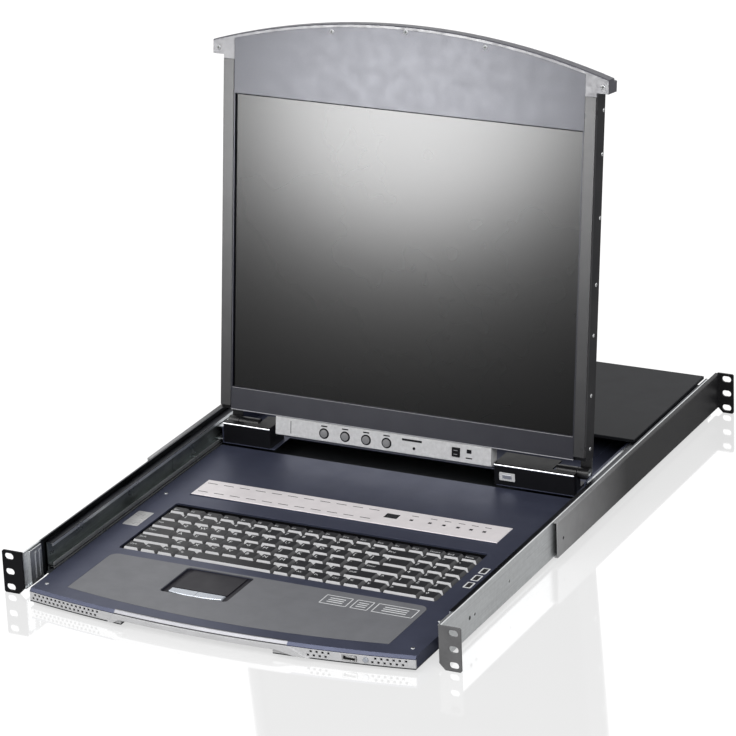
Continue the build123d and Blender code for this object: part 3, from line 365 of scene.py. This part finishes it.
def slide_metal(name, colour, top):
    """Drawn slide steel with a painted highlight at its lips, and painted dark above a level, as it looks in
    shade.
    """
    shader = Shader(name)
    streaks = shader.noise(900.0, 4.0, 0.6, (1, 0.02, 1))
    stains = shader.noise(38.0, 5.0, 0.65, (1, 0.6, 1.5))
    tone = shader.varied(streaks, colour, 0.15)
    tone = shader.mix(shader.ramp(stains, 0.0, 0.6, 0.5, 0.7), tone, shade(colour, 0.35))
    # Painted highlight on the inward faces of the lips.
    lip_highlight = shader.ramp(shader.off_middle(), 1.0, 0.0, 210.2 * MM, 210.5 * MM)
    tone = shader.mix(lip_highlight, tone, (0.8, 0.82, 0.83))
    high = shader.ramp(shader.component("Z"), 0.0, 1.0, (top - 0.5) * MM, (top - 0.3) * MM)
    tone = shader.mix(high, tone, (0.02, 0.022, 0.028))
    rough = shader.ramp(shader.noise(25.0, 4.0), 0.25, 0.4)
    normal = shader.bump(streaks, 0.00001, shader.rounded(0.0003))
    shader.set(Base_Color=tone, Roughness=rough, Metallic=0.9, Normal=normal)
    return shader.material


def board_green():
    """A circuit board: lacquer over faint tracks."""
    shader = Shader("board_green")
    tracks = shader.noise(260.0, 2.0, 0.5, (1, 0.12, 1))
    tone = shader.mix(shader.ramp(tracks, 0.0, 1.0, 0.45, 0.55), (0.012, 0.075, 0.03), (0.03, 0.13, 0.055))
    shader.set(Base_Color=tone, Roughness=0.35, Coat_Weight=0.5, Coat_Roughness=0.2)
    return shader.material


materials = {
    "galvanised": rail_metal(),
    "slide_steel": slide_metal("slide_steel", (0.3, 0.33, 0.33), 16.5),
    "black_steel": painted("black_steel", (0.012, 0.012, 0.013), 0.0, 0.36, 0.2, 40.0, 0.00002, 1800.0),
    "slate_metal": deck_with_painted_shade(),
    "dark_steel": painted("dark_steel", (0.04, 0.043, 0.047), 0.2, 0.45, 0.12, 40.0, 0.00003, 1500.0),
    "slate_light": bezel_paint(),
    "fascia_silver": painted("fascia_silver", (0.6, 0.6, 0.61), 0.1, 0.4, 0.05, 60.0, 0.00002, 1800.0),
    "back_aluminium": painted("back_aluminium", (0.01, 0.01, 0.012), 0.0, 0.42, 0.12, 40.0, specular=0.15),
    "palm_grey": painted("palm_grey", (0.15, 0.153, 0.165), 0.1, 0.5, 0.06, 60.0, 0.00003, 2200.0),
    "pad_dark": painted("pad_dark", (0.012, 0.011, 0.015), 0.0, 0.45, 0.06, 60.0, specular=0.3),
    "silver_button": painted("silver_button", (0.5, 0.53, 0.58), 0.6, 0.28, 0.05, 60.0),
    "key_black": key_plastic(),
    "panel_silver": painted("panel_silver", (0.56, 0.56, 0.565), 0.0, 0.4, 0.1, 260.0, specular=0.08),
    "lamp_dark": painted("lamp_dark", (0.02, 0.02, 0.022), 0.0, 0.2, 0.1, 60.0),
    "socket_metal": brushed("socket_metal", (0.6, 0.6, 0.6), 0.3, (1, 0.05, 1)),
    "trim_grey": painted(
        "trim_grey", (0.03, 0.03, 0.032), 0.0, 0.29, 0.1, 50.0, specular=0.11, rough_spread=0.02
    ),
    "bright_trim": brushed("bright_trim", (0.85, 0.86, 0.88), 0.14, (0.05, 1, 1), 0.05),
    "screen_glass": screen_glass(),
    "black_plastic": painted("black_plastic", (0.005, 0.005, 0.006), 0.0, 0.38, 0.15, 60.0, specular=0.15),
    "board_green": board_green(),
    "supply_case": brushed("supply_case", (0.55, 0.56, 0.57), 0.35, (1, 0.02, 1)),
}
# The rear brackets: a painted sheen, grey at their front end and fading to black towards the rear.
bracket_painted_sheen = painted_light_fade("bracket_painted_sheen", (0.32, 0.32, 0.325), (0.008, 0.008, 0.009), 252, 420, "Y", 0.42)
# The top cover: painted light and shade, darker towards its front and lighter towards the rear.
cover_painted_light = painted_light_fade(
    "cover_painted_light", (0.012, 0.013, 0.015), (0.02, 0.021, 0.024), 470, 560, "Y", 0.5, 0.14
)
# The front ears: painted light, black on the left and fading to grey on the right.
ear_painted_light = painted_light_fade(
    "ear_painted_light", (0.008, 0.008, 0.009), (0.15, 0.15, 0.153), -200, 200, "X", 0.5, 0.08
)
# The lower slides take a lighter copy of the slide steel: painted light.
lower_slide_lit_copy = slide_metal("lower_slide_lit_metal", (0.62, 0.66, 0.66), -8.0)
button_silver = painted("osd_silver", (0.26, 0.26, 0.265), 0.3, 0.35, 0.08, 200.0, specular=0.3)
finish_for_node = {
    "osd_button_1": button_silver,
    "osd_button_2": button_silver,
    "osd_button_3": button_silver,
    "osd_button_4": button_silver,
    "front_ears": ear_painted_light,
    "status_panel": painted("status_silver", (0.8, 0.76, 0.77), 0.1, 0.4, 0.05, 60.0),
    "top_handle": painted("arch_slate", (0.075, 0.075, 0.09), 0.0, 0.36, 0.08, 300.0, specular=0.25),
    "lower_slide_channels": lower_slide_lit_copy,
    "rear_bracket_right": bracket_painted_sheen,
    "rear_bracket_left": bracket_painted_sheen,
    "top_cover": cover_painted_light,
}
screw_steel = brushed("screw_steel", (0.62, 0.63, 0.64), 0.3, (1, 1, 1), 0.12, 1500.0)
pale_screw = brushed("pale_screw", (0.8, 0.81, 0.82), 0.25, (1, 1, 1), 0.08, 1500.0)
# Painted shade for the insides of holes and screw recesses.
painted_recess_shade = painted("painted_recess_shade", (0.006, 0.006, 0.006), 0.0, 0.6, 0.3, 300.0)
line_dark = painted("line_dark", (0.008, 0.008, 0.01), 0.0, 0.5, 0.2, 300.0, specular=0.1)
line_pale = painted("line_pale", (0.42, 0.42, 0.44), 0.2, 0.4, 0.08, 300.0)
legend_pale = painted("legend_pale", (0.72, 0.73, 0.74), 0.0, 0.6, 0.05, 400.0)
tab_pale = painted("tab_pale", (0.6, 0.6, 0.6), 0.0, 0.35, 0.06, 200.0)
sticker_silver = painted("sticker_silver", (0.5, 0.5, 0.5), 0.4, 0.3, 0.12, 130.0)
sticker_dark = painted("sticker_dark", (0.02, 0.02, 0.022), 0.0, 0.35, 0.2, 200.0)
galvanised_edge = brushed("galvanised_edge", (0.7, 0.71, 0.72), 0.3, (1, 1, 1), 0.1, 700.0)


def dress_nodes():
    """Each carried-over piece takes the material of its slot in the record, unless a finish is named for the
    node itself.
    """
    for entry in frame["record"]["subparts"]:
        piece = nodes[entry["node"]]
        piece.data.materials.clear()
        piece.data.materials.append(finish_for_node.get(entry["node"], materials[entry["material_slot"]]))


dress_nodes()


# Small details, each group one piece that rides on a body
lean = math.radians(7.394)
screen_base = Vector((0, 370.0, 58.5))
screen_up = Vector((0, math.sin(lean), math.cos(lean)))
screen_out = Vector((0, -math.cos(lean), math.sin(lean)))
RIGHT = Vector((1, 0, 0))
BACK = Vector((0, 1, 0))
UP = Vector((0, 0, 1))


def seat(origin, right, up):
    """A local frame in millimetres: its Z is the outward direction of the face it sits on."""
    out = right.cross(up)
    turn = Matrix((right, up, out)).transposed().to_4x4()
    return Matrix.Scale(MM, 4) @ Matrix.Translation(origin) @ turn


def screen_seat(x, v, w=0.0):
    return seat(screen_base + RIGHT * x + screen_up * v + screen_out * w, RIGHT, screen_up)


def screen_side_seat(v, w):
    """On the screen's right-hand side face."""
    origin = screen_base + RIGHT * tray_half_width + screen_up * v + screen_out * w
    return seat(origin, screen_out * -1, screen_up)


def deck_seat(x, y, z=-5.5):
    return seat(Vector((x, y, z)), RIGHT, BACK)


def right_side_seat(x, y, z):
    """On a face that looks to the right."""
    return seat(Vector((x, y, z)), BACK, UP)


def front_seat(x, y, z):
    """On a face that looks to the front."""
    return seat(Vector((x, y, z)), RIGHT, UP)


class Detail:
    """A named group of small shapes in one mesh, on one body."""

    def __init__(self, name, body, *finishes):
        self.name = name
        self.body = body
        self.finishes = finishes
        self.mesh = bmesh.new()

    def outline(self, place, points, thickness, finish=0):
        """Extrude a closed outline from the seat's face outwards."""
        low = [self.mesh.verts.new(place @ Vector((x, y, -0.05))) for x, y in points]
        high = [self.mesh.verts.new(place @ Vector((x, y, thickness))) for x, y in points]
        count = len(points)
        faces = [self.mesh.faces.new(high), self.mesh.faces.new(low[::-1])]
        for index in range(count):
            after = (index + 1) % count
            faces.append(self.mesh.faces.new((low[index], low[after], high[after], high[index])))
        for face in faces:
            face.material_index = finish

    def plate(self, place, width, height, thickness, corner=0.0, finish=0):
        """A rectangular plate with round corners."""
        points = []
        steps = 4 if corner else 0
        for number, (sx, sy) in enumerate(((1, 1), (-1, 1), (-1, -1), (1, -1))):
            cx = sx * (width / 2 - corner)
            cy = sy * (height / 2 - corner)
            for step in range(steps + 1):
                angle = math.radians(90 * number + 90 * step / max(steps, 1))
                points.append((cx + corner * math.cos(angle), cy + corner * math.sin(angle)))
        self.outline(place, points, thickness, finish)

    def turned(self, place, profile, finish=0, segments=28):
        """Turn a profile of radius and height about the seat's outward axis; it closes at the top."""
        rings = []
        for radius, height in profile:
            ring = []
            for step in range(segments):
                angle = 2 * math.pi * step / segments
                point = Vector((radius * math.cos(angle), radius * math.sin(angle), height))
                ring.append(self.mesh.verts.new(place @ point))
            rings.append(ring)
        for lower, upper in zip(rings, rings[1:]):
            for step in range(segments):
                after = (step + 1) % segments
                face = self.mesh.faces.new((lower[step], lower[after], upper[after], upper[step]))
                face.material_index = finish
        cap = self.mesh.faces.new(rings[-1])
        cap.material_index = finish

    def screw(self, place, radius, height=0.5, head=0, recess=1):
        """A low pan head with a crossed recess, drawn as a dark cross of painted shade on the head."""
        edge = min(0.3, radius / 4)
        self.turned(place, [(radius, -0.05), (radius, height - edge), (radius - edge, height)], head)
        arm = 1.1 * radius
        for width, length in ((0.3 * radius, arm), (arm, 0.3 * radius)):
            self.plate(place, width, length, height + 0.03, 0.0, recess)

    def hole(self, place, radius, rim=0, dark=1):
        """A round opening: a dark disc of painted shade inside a narrow lighter edge."""
        self.turned(place, [(radius + 0.35, -0.05), (radius + 0.35, 0.08), (radius, 0.12)], rim)
        self.turned(place, [(radius, -0.05), (radius, 0.15)], dark)

    def done(self, bevel=0.0):
        data = bpy.data.meshes.new(self.name)
        bmesh.ops.recalc_face_normals(self.mesh, faces=self.mesh.faces)
        self.mesh.to_mesh(data)
        self.mesh.free()
        for finish in self.finishes:
            data.materials.append(finish)
        piece = bpy.data.objects.new(self.name, data)
        bpy.context.scene.collection.objects.link(piece)
        if bevel:
            rounding = piece.modifiers.new("edges", "BEVEL")
            rounding.width = bevel * MM
            rounding.segments = 2
            rounding.limit_method = "ANGLE"
        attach(piece, self.body)
        return piece


# Places up the screen's face and outwards from it
side_screw_places = (
    (322.0, -18.0), (279.0, -18.0), (216.4, -18.0), (150.9, -13.9), (100.7, -12.0), (40.4, -11.0),
    (-13.7, -12.9),
)
glass_half_width = 188.7
osd_ring_xs = (-83.3, -59.6, -36.0, -13.1)
osd_cap_xs = (-83.4, -59.8, -36.3, -13.5)


def screen_details():
    arch = Detail("arch_screws", "screen", screw_steel, painted_recess_shade)
    for x, v in ((-82.0, 374.6), (-1.5, 381.5), (84.0, 374.4), (-208.0, 347.5), (208.0, 347.5)):
        arch.screw(screen_seat(x, v, 0.0), 2.4, 0.6)
    arch.done()

    side = Detail("screen_side_screws", "screen", pale_screw, painted_recess_shade)
    for v, w in side_screw_places:
        side.screw(screen_side_seat(v, w), 1.9, 0.5)
    side.done()

    lines = Detail("bezel_lines", "screen", line_dark, line_pale)
    lines.plate(screen_seat(0, -0.4, -0.02), 2 * glass_half_width, 0.5, 0.12, 0.0, 1)
    lines.plate(screen_seat(0, 302.9, -0.02), 2 * glass_half_width, 0.7, 0.12, 0.0, 0)
    lines.plate(screen_seat(0, -23.4, -0.02), 380.0, 0.8, 0.15, 0.0, 1)
    lines.done()


def osd_details():
    rings = Detail("osd_rings", "screen", line_dark, tab_pale)
    for x in osd_ring_xs:
        rings.turned(screen_seat(x, -35.0, 0.0), [(5.5, -0.05), (5.5, 0.1), (4.4, 0.14)], 0, 36)
        rings.plate(screen_seat(x, -27.4, 0.0), 7.0, 1.3, 0.1, 0.0, 0)
    rings.plate(screen_seat(15.0, -28.6, 0.0), 22.0, 2.2, 0.12, 0.2, 0)
    rings.turned(screen_seat(17.5, -36.5, 0.0), [(1.5, -0.05), (1.5, 0.3), (1.0, 0.5)], 0)
    rings.plate(screen_seat(78.0, -31.0, 0.0), 5.2, 4.0, 0.2, 0.4, 0)
    rings.plate(screen_seat(78.0, -38.0, 0.0), 7.0, 1.2, 0.1, 0.0, 0)
    rings.plate(screen_seat(-121.0, -33.7, 0.0), 0.7, 13.0, 0.1, 0.0, 0)
    rings.done()
    for number, x in enumerate(osd_cap_xs, 1):
        cap = Detail(f"osd_cap_{number}", f"osd_button_{number}", button_silver)
        cap.turned(screen_seat(x, -35.0, 1.0), [(3.0, -0.05), (2.6, 0.16), (1.4, 0.22)], 0, 36)
        cap.done()
    mark = Detail("osd_switch_mark", "osd_switch", line_pale)
    mark.plate(screen_seat(63.6, -31.5, 1.0), 4.2, 0.5, 0.06)
    mark.plate(screen_seat(63.6, -35.5, 1.0), 4.2, 0.5, 0.06)
    mark.done()


def rail_details():
    web = Detail("rail_holes", "root", galvanised_edge, painted_recess_shade)
    for y, z, radius in ((63.0, 2.0, 2.0), (74.0, 1.2, 1.4), (150.0, 2.0, 1.2)):
        web.hole(right_side_seat(219.2, y, z), radius)
    web.done()
    bracket = Detail("bracket_hole_and_edge_highlight", "rear_bracket_right", line_pale, painted_recess_shade)
    bracket.hole(right_side_seat(224.0, 264.0, 0.0), 1.7)
    # A painted highlight along the bracket's front edge.
    bracket.plate(right_side_seat(224.0, 253.0, 2.2), 0.5, 36.0, 0.06)
    bracket.done()


def deck_details():
    screws = Detail("deck_screws", "keyboard_drawer", screw_steel, painted_recess_shade)
    for x, y in ((192.0, 0.0), (190.0, 61.0), (-192.0, 0.0), (194.0, 236.0), (-193.0, 232.0)):
        screws.screw(deck_seat(x, y), 2.0, 0.5)
    screws.done()
    notes = Detail("deck_stickers", "keyboard_drawer", sticker_silver, legend_pale)
    notes.plate(deck_seat(-188.0, 167.0), 17.0, 34.0, 0.12, 1.0, 0)
    for x, width in ((81.0, 27.0), (108.0, 17.0), (142.0, 41.0)):
        for y in (57.0, 75.0):
            notes.plate(deck_seat(x, y, -5.35), width, 0.9, 0.06, 0.0, 1)
        for side in (-1, 1):
            notes.plate(deck_seat(x + side * width / 2, 66.0, -5.35), 0.9, 18.0, 0.06, 0.0, 1)
        for y in (62.0, 66.0, 70.0):
            notes.plate(deck_seat(x, y, -5.35), width * 0.6, 1.3, 0.06, 0.0, 1)
    notes.done()
    strip = Detail("indicator_strip", "keyboard_drawer", sticker_dark, legend_pale)
    for y in (143.0, 160.0, 177.0):
        strip.plate(deck_seat(181.0, y), 8.0, 13.0, 0.1, 1.0, 1)
        strip.plate(deck_seat(181.0, y, -5.4), 5.0, 10.0, 0.1, 0.6, 0)
    strip.done()
    marks = Detail("panel_marks", "keyboard_drawer", line_dark)
    for x in (-160.0, -142.0, -124.0, -106.0, -88.0, -70.0, -52.0, -34.0, -16.0, 2.0, 20.0):
        for y in (248.0, 269.0):
            marks.plate(deck_seat(x, y, -4.7), 11.0, 1.0, 0.03)
    for x in (65.0, 85.0, 100.0, 115.0, 129.0, 143.0):
        marks.plate(deck_seat(x, 268.5, -4.7), 7.0, 1.0, 0.03)
    marks.done()


def hinge_details():
    tabs = Detail("hinge_tabs", "screen_carriage", tab_pale, screw_steel)
    tabs.plate(front_seat(118.0, 367.8, 6.0), 17.0, 8.5, 0.5, 0.8, 0)
    tabs.plate(front_seat(118.0, 367.3, 6.0), 10.0, 4.0, 0.2, 0.4, 1)
    tabs.done(0.15)
    screws = Detail("hinge_screws", "screen_carriage", pale_screw, painted_recess_shade)
    for x in (-190.0, -176.0, 112.0, 150.0, 176.0):
        screws.screw(deck_seat(x, 378.0, -1.4), 2.2, 0.8)
    screws.done()


def islands(node):
    """The boxes of the separate solids in a node, from left to right."""
    mesh = bmesh.new()
    mesh.from_mesh(nodes[node].data)
    bmesh.ops.remove_doubles(mesh, verts=mesh.verts, dist=0.00001)
    left = set(mesh.verts)
    boxes = []
    while left:
        wave = [left.pop()]
        points = []
        while wave:
            vert = wave.pop()
            points.append(vert.co.copy())
            for edge in vert.link_edges:
                other = edge.other_vert(vert)
                if other in left:
                    left.remove(other)
                    wave.append(other)
        low = Vector([min(point[axis] for point in points) for axis in range(3)])
        high = Vector([max(point[axis] for point in points) for axis in range(3)])
        boxes.append((low, high))
    mesh.free()
    return sorted(boxes, key=lambda pair: pair[0].x)


legend_rows = {
    "key_row_1": "Ctrl Fn Alt Sp | Alt Fn Ctrl < v > 0 .",
    "key_row_2": "Shift Z X C V B N M , . / Shift ^ 1 2 3",
    "key_row_3": "Caps A S D F G H J K L ; ' Enter 4 5 6",
    "key_row_4": "Tab Q W E R T Y U I O P [ ] \\ 7 8 9",
    "key_row_5": "` 1 2 3 4 5 6 7 8 9 0 - = Bksp / * -",
    "key_row_6": "Esc F1 F2 F3 F4 F5 F6 F7 F8 F9 F10 F11 F12 Ins Del Home End Num",
}
legend_size = 7.0
small_legend_size = 4.4
legend_lift = 0.04
legend_from_left = 3.2
legend_from_rear = 9.4


def legend_mesh(words, size, place):
    """Flat letters as mesh data at a place in metres."""
    curve = bpy.data.curves.new("letters", "FONT")
    curve.body = words
    curve.size = size * MM
    curve.resolution_u = 1
    curve.align_x = "LEFT"
    letters = bpy.data.objects.new("letters", curve)
    data = bpy.data.meshes.new_from_object(letters)
    data.transform(Matrix.Translation(place))
    bpy.data.objects.remove(letters)
    bpy.data.curves.remove(curve)
    return data


def key_legends():
    for row, words in legend_rows.items():
        group = bmesh.new()
        keys = islands(row)
        for (low, high), word in zip(keys, words.split()):
            size = legend_size if len(word) == 1 else small_legend_size
            place = Vector((
                low.x + legend_from_left * MM, high.y - legend_from_rear * MM, high.z + legend_lift * MM
            ))
            data = legend_mesh(word, size, place)
            group.from_mesh(data)
            bpy.data.meshes.remove(data)
        mesh = bpy.data.meshes.new(f"legends_{row}")
        group.to_mesh(mesh)
        group.free()
        mesh.materials.append(legend_pale)
        piece = bpy.data.objects.new(f"legends_{row}", mesh)
        bpy.context.scene.collection.objects.link(piece)
        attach(piece, row)


screen_details()
osd_details()
rail_details()
deck_details()
hinge_details()
key_legends()


# Floor, backdrop and lights
floor_level = cad_box[0].z
floor_reach = 12
floor_glow = 0.66
world_level = 0.4


def make_floor():
    """A glossy white table that shows white to the camera and mirrors the object faintly."""
    shader = Shader("floor")
    tone = shader.mix(shader.ramp(shader.noise(3.0, 3.0), 0.0, 1.0), (0.2, 0.2, 0.2), (0.22, 0.22, 0.22))
    path = shader.add("ShaderNodeLightPath")
    glow = shader.ramp(path.outputs["Is Camera Ray"], 0.0, floor_glow, 0.0, 1.0)
    shader.set(
        Base_Color=tone, Roughness=0.06, Specular_IOR_Level=1.0, IOR=2.2,
        Emission_Color=(1.0, 1.0, 1.0, 1.0), Emission_Strength=glow
    )
    signs = ((-1, -1), (1, -1), (1, 1), (-1, 1))
    corners = [(x * floor_reach, y * floor_reach, floor_level) for x, y in signs]
    mesh = bpy.data.meshes.new("floor")
    mesh.from_pydata(corners, [], [(0, 1, 2, 3)])
    mesh.materials.append(shader.material)
    floor = bpy.data.objects.new("floor", mesh)
    bpy.context.scene.collection.objects.link(floor)


def make_world():
    """White for the camera and in mirrored light, and a plain soft level for the light itself."""
    world = bpy.data.worlds.new("world")
    bpy.context.scene.world = world
    world.use_nodes = True
    tree = world.node_tree
    tree.nodes.clear()
    output = tree.nodes.new("ShaderNodeOutputWorld")
    background = tree.nodes.new("ShaderNodeBackground")
    background.inputs["Color"].default_value = (1, 1, 1, 1)
    path = tree.nodes.new("ShaderNodeLightPath")
    white = tree.nodes.new("ShaderNodeMath")
    white.operation = "MAXIMUM"
    tree.links.new(path.outputs["Is Camera Ray"], white.inputs[0])
    tree.links.new(path.outputs["Is Glossy Ray"], white.inputs[1])
    level = tree.nodes.new("ShaderNodeMapRange")
    level.inputs["To Min"].default_value = world_level
    level.inputs["To Max"].default_value = 1.0
    tree.links.new(white.outputs["Value"], level.inputs["Value"])
    tree.links.new(level.outputs["Result"], background.inputs["Strength"])
    tree.links.new(background.outputs["Background"], output.inputs["Surface"])


def area_light(name, place, target, width, height, power, diffuse=True):
    data = bpy.data.lights.new(name, "AREA")
    data.shape = "RECTANGLE" if diffuse else "ELLIPSE"
    data.size = width
    data.size_y = height
    data.energy = power
    lamp = bpy.data.objects.new(name, data)
    lamp.location = place
    lamp.rotation_euler = (Vector(target) - Vector(place)).to_track_quat("-Z", "Y").to_euler()
    lamp.visible_camera = False
    lamp.visible_diffuse = diffuse
    bpy.context.scene.collection.objects.link(lamp)
    return lamp


def light_only(lamp, names):
    """The lamp reaches the named pieces alone, so that the deck does not mirror it into the glass."""
    receivers = bpy.data.collections.new(f"{lamp.name}_receivers")
    for name in names:
        receivers.objects.link(nodes[name])
    lamp.light_linking.receiver_collection = receivers


make_floor()
make_world()
area_light("key_light", (-1.2, -1.6, 2.6), (0, 0.3, 0), 2.2, 2.2, 60.0)
area_light("fill_light", (2.0, -1.3, 2.0), (0, 0.1, 0), 1.8, 1.8, 44.0)
screen_light = area_light(
    "screen_light", (-0.62, -0.92, 0.28), (0.02, 0.42, 0.36), 0.42, 0.36, 52.0, diffuse=False
)
light_only(screen_light, ("screen_bezel", "lcd_panel", "top_handle", "screen_side_trims", "osd_panel"))

bpy.context.scene.view_settings.view_transform = "Standard"
